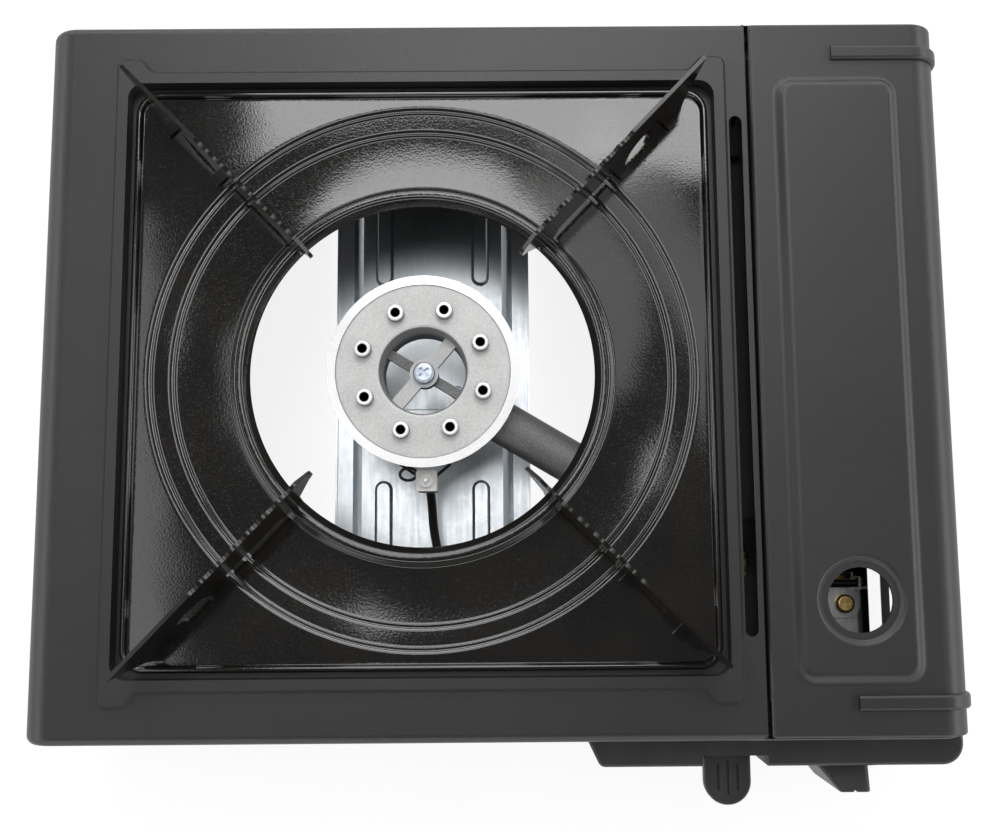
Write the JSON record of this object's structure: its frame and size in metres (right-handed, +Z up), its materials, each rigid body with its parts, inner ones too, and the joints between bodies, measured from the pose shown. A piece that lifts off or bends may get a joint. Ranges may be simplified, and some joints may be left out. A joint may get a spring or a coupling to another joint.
{
  "type": "portable gas stove",
  "caption": "Low box-shaped portable gas stove: square enamelled drip pan with pan supports round a ring burner, hinged cartridge lid, control knob and cartridge lock lever.",
  "frame": {"origin": "on the table under the middle of the overall box", "axes": "+X to the right as its user stands, +Y to the rear, +Z up"},
  "size_m": [0.3464, 0.2994, 0.114],
  "materials": {
    "body_shell": "matt charcoal powder coat",
    "lid_shell": "matt charcoal powder coat",
    "drip_pan": "glossy black enamel",
    "pan_support_rear_left": "glossy black enamel",
    "pan_support_rear_right": "glossy black enamel",
    "pan_support_front_left": "glossy black enamel",
    "pan_support_front_right": "glossy black enamel",
    "burner_body": "matt die-cast",
    "burner_cap": "matt die-cast",
    "burner_screw": "zinc-plated screw",
    "burner_bracket": "galvanised sheet",
    "burner_bracket_screws": "zinc-plated screw",
    "burner_bridge": "galvanised sheet",
    "bridge_screws": "zinc-plated screw",
    "partition_plate": "matt charcoal powder coat",
    "cartridge_tray": "zinc-plated sheet",
    "tray_screws": "zinc-plated screw",
    "regulator_bracket": "zinc-plated sheet",
    "guide_pin": "black rod",
    "regulator_body": "die-cast",
    "regulator_cover": "plated pressing",
    "regulator_screw": "turned brass",
    "inlet_nipple": "turned brass",
    "inlet_seal": "black rubber",
    "gas_pipe": "drawn tube",
    "injector_jet": "turned brass",
    "igniter_ceramic": "off-white insulator",
    "igniter_electrode": "zinc-plated screw",
    "igniter_clip": "dark wire",
    "ignition_lead": "black rubber",
    "piezo_igniter": "cream moulding",
    "front_panel": "satin black moulding",
    "panel_screws": "zinc-plated screw",
    "control_knob": "satin black moulding",
    "valve_spindle": "zinc-plated sheet",
    "lock_lever_tab": "satin black moulding",
    "lever_arm": "zinc-plated sheet",
    "lever_bracket": "zinc-plated sheet",
    "lever_pin": "zinc-plated screw",
    "pull_rod": "blackened rod",
    "cartridge_pusher": "zinc-plated sheet",
    "lid_hinge_pins": "matt charcoal powder coat",
    "rubber_feet": "black rubber"
  },
  "bodies": {
    "base": {"body_shell": "body_shell", "burner_body": "burner_body", "burner_cap": "burner_cap", "burner_screw": "burner_screw", "burner_bracket": "burner_bracket", "burner_bracket_screws": "burner_bracket_screws", "burner_bridge": "burner_bridge", "bridge_screws": "bridge_screws", "partition_plate": "partition_plate", "cartridge_tray": "cartridge_tray", "tray_screws": "tray_screws", "regulator_bracket": "regulator_bracket", "guide_pin": "guide_pin", "regulator_body": "regulator_body", "regulator_cover": "regulator_cover", "regulator_screw": "regulator_screw", "inlet_nipple": "inlet_nipple", "inlet_seal": "inlet_seal", "gas_pipe": "gas_pipe", "injector_jet": "injector_jet", "igniter_ceramic": "igniter_ceramic", "igniter_electrode": "igniter_electrode", "igniter_clip": "igniter_clip", "ignition_lead": "ignition_lead", "piezo_igniter": "piezo_igniter", "front_panel": "front_panel", "panel_screws": "panel_screws", "lever_bracket": "lever_bracket", "lever_pin": "lever_pin", "lid_hinge_pins": "lid_hinge_pins", "rubber_feet": "rubber_feet"},
    "lid": {"lid_shell": "lid_shell"},
    "pan": {"drip_pan": "drip_pan", "pan_support_rear_left": "pan_support_rear_left", "pan_support_rear_right": "pan_support_rear_right", "pan_support_front_left": "pan_support_front_left", "pan_support_front_right": "pan_support_front_right"},
    "knob": {"control_knob": "control_knob", "valve_spindle": "valve_spindle"},
    "lever": {"lock_lever_tab": "lock_lever_tab", "lever_arm": "lever_arm"},
    "pusher": {"pull_rod": "pull_rod", "cartridge_pusher": "cartridge_pusher"}
  },
  "joints": [
    {"name": "lid_open", "type": "hinge", "parent": "base", "child": "lid", "pos_m": [0.0996, 0.014, 0.0834], "axis": [0, -1, 0], "range_deg": [0, 90]},
    {"name": "pan_lift", "type": "slide", "parent": "base", "child": "pan", "axis": [0, 0, 1], "range_m": [0, 0.12]},
    {"name": "knob_turn", "type": "hinge", "parent": "base", "child": "knob", "pos_m": [0.1352, -0.1315, 0.043], "axis": [0, -1, 0], "range_deg": [0, 110]},
    {"name": "lever_press", "type": "hinge", "parent": "base", "child": "lever", "pos_m": [0.087, -0.09825, 0.045], "axis": [1, 0, 0], "range_deg": [0, 25]},
    {"name": "pusher_slide", "type": "slide", "parent": "base", "child": "pusher", "axis": [0, -1, 0], "range_m": [0, 0.012]}
  ],
  "couplings": [
    {"joint": "pusher_slide", "follows": "lever_press", "m_per_rad": 0.027}
  ]
}
